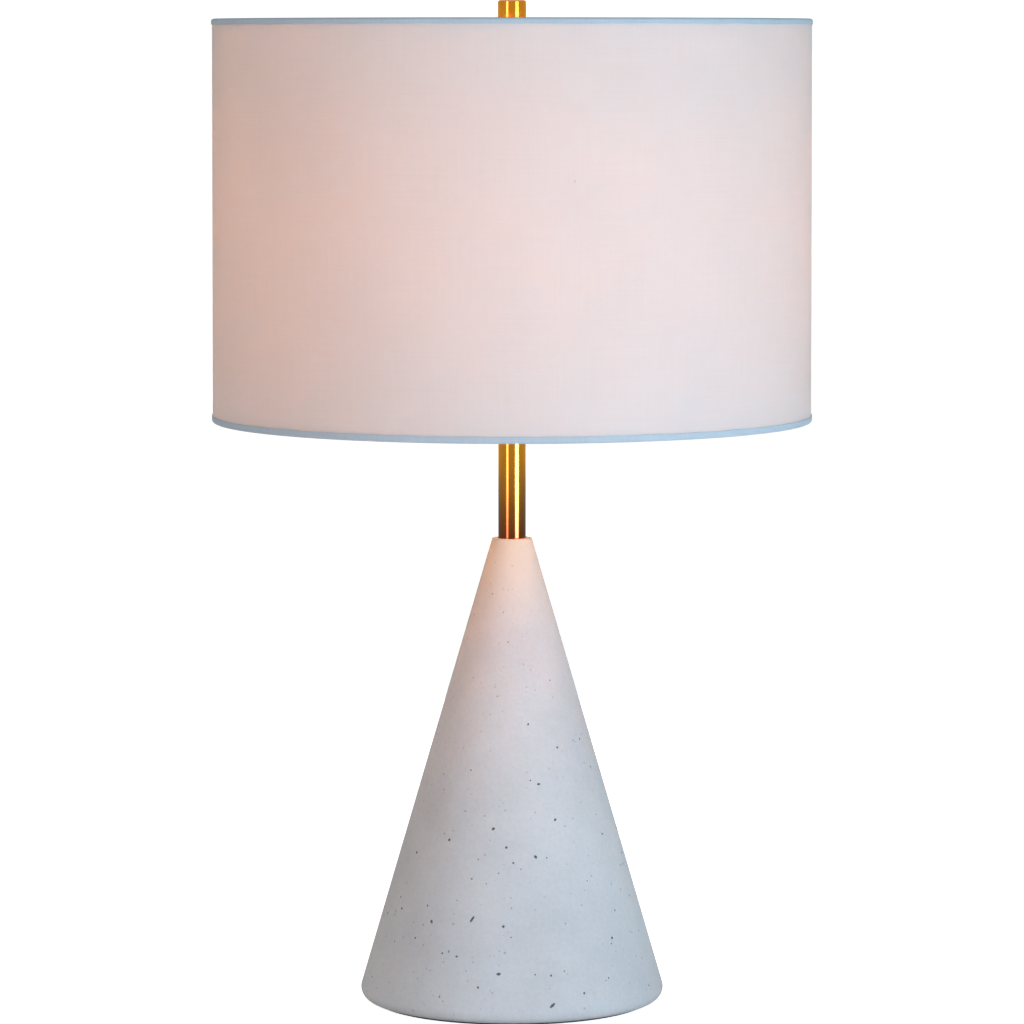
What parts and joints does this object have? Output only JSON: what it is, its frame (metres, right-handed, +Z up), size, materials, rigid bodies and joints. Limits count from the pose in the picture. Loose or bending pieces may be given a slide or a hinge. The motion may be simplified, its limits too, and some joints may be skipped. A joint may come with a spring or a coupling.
{
  "type": "table lamp",
  "caption": "Table lamp with a tall cast cone base, slim brass neck, detachable harp and a fabric drum shade held by a cylindrical finial.",
  "frame": {"origin": "on the surface the lamp stands on, at the lamp's axis", "axes": "+Z up along the lamp's axis, -Y the front, where the switch knob points, +X to the right"},
  "size_m": [0.4076, 0.4076, 0.683],
  "materials": {
    "cement": "matte white cement with small pits",
    "felt": "pressed felt",
    "hardboard": "hardboard",
    "zinc_steel": "zinc plated",
    "antique_brass": "satin antique brass",
    "polished_brass": "bright drawn brass",
    "harp_brass": "brass plated steel",
    "white_wire": "white powder coat",
    "phenolic": "moulded phenolic",
    "knob_plastic": "moulded",
    "fibre": "vulcanised fibre",
    "bushing_plastic": "moulded nylon",
    "splice_plastic": "moulded nylon",
    "lead_black": "soft plastic insulation",
    "lead_white": "soft plastic insulation",
    "bulb_glass": "inside frosted",
    "stem_glass": "clear",
    "black_glass": "black insulating glass",
    "bulb_metal": "rolled sheet",
    "tungsten": "wire",
    "shade_fabric": "plain woven off-white fabric",
    "shade_backing": "white translucent sheet",
    "hem_fabric": "rolled fabric edge"
  },
  "bodies": {
    "base": {"cone_body": "cement", "bottom_cover": "hardboard", "felt_pad": "felt", "cord_bushing": "bushing_plastic", "plug_washer": "zinc_steel", "plug_lock_washer": "zinc_steel", "plug_nut": "zinc_steel", "threaded_rod": "zinc_steel", "neck_tube": "antique_brass", "neck_bush": "zinc_steel", "neck_cap": "antique_brass", "harp_saddle": "harp_brass", "saddle_nut": "polished_brass", "socket_cap": "polished_brass", "cap_set_screw": "zinc_steel", "cap_liner": "fibre", "socket_body": "phenolic", "terminal_screws": "polished_brass", "screw_socket": "polished_brass", "centre_contact": "polished_brass", "shell_liner": "fibre", "socket_shell": "polished_brass", "lead_right": "lead_white", "lead_left": "lead_black", "splice_caps": "splice_plastic"},
    "knob": {"switch_knob": "knob_plastic", "switch_shaft": "zinc_steel"},
    "bulb": {"bulb_contact": "bulb_metal", "bulb_insulator": "black_glass", "bulb_cap": "bulb_metal", "bulb_glass": "bulb_glass", "bulb_stem": "stem_glass", "filament_supports": "tungsten", "filament": "tungsten"},
    "harp": {"harp_wire": "harp_brass"},
    "left_ferrule": {"ferrule_left": "harp_brass"},
    "right_ferrule": {"ferrule_right": "harp_brass"},
    "stud": {"harp_stud": "harp_brass"},
    "shade": {"spider_hub": "white_wire", "spider_arms": "white_wire", "top_ring": "white_wire", "bottom_ring": "white_wire", "shade_backing": "shade_backing", "shade_cover": "shade_fabric", "top_hem": "hem_fabric", "bottom_hem": "hem_fabric"},
    "finial": {"finial": "antique_brass"}
  },
  "joints": [
    {"name": "switch_turn", "type": "hinge", "parent": "base", "child": "knob", "pos_m": [0, -0.02, 0.4557], "axis": [0, -1, 0], "continuous": true},
    {"name": "bulb_unscrew", "type": "slide", "parent": "base", "child": "bulb", "axis": [0, 0, 1], "range_m": [0, 0.03]},
    {"name": "harp_lift", "type": "slide", "parent": "base", "child": "harp", "axis": [0, 0, 1], "range_m": [0, 0.035]},
    {"name": "left_ferrule_lift", "type": "slide", "parent": "harp", "child": "left_ferrule", "axis": [0, 0, 1], "range_m": [0, 0.02]},
    {"name": "right_ferrule_lift", "type": "slide", "parent": "harp", "child": "right_ferrule", "axis": [0, 0, 1], "range_m": [0, 0.02]},
    {"name": "shade_swivel", "type": "hinge", "parent": "harp", "child": "stud", "pos_m": [0, 0, 0.652], "axis": [0, 0, 1], "continuous": true},
    {"name": "shade_lift", "type": "slide", "parent": "stud", "child": "shade", "axis": [0, 0, 1], "range_m": [0, 0.28]},
    {"name": "finial_unscrew", "type": "slide", "parent": "shade", "child": "finial", "axis": [0, 0, 1], "range_m": [0, 0.016]}
  ]
}
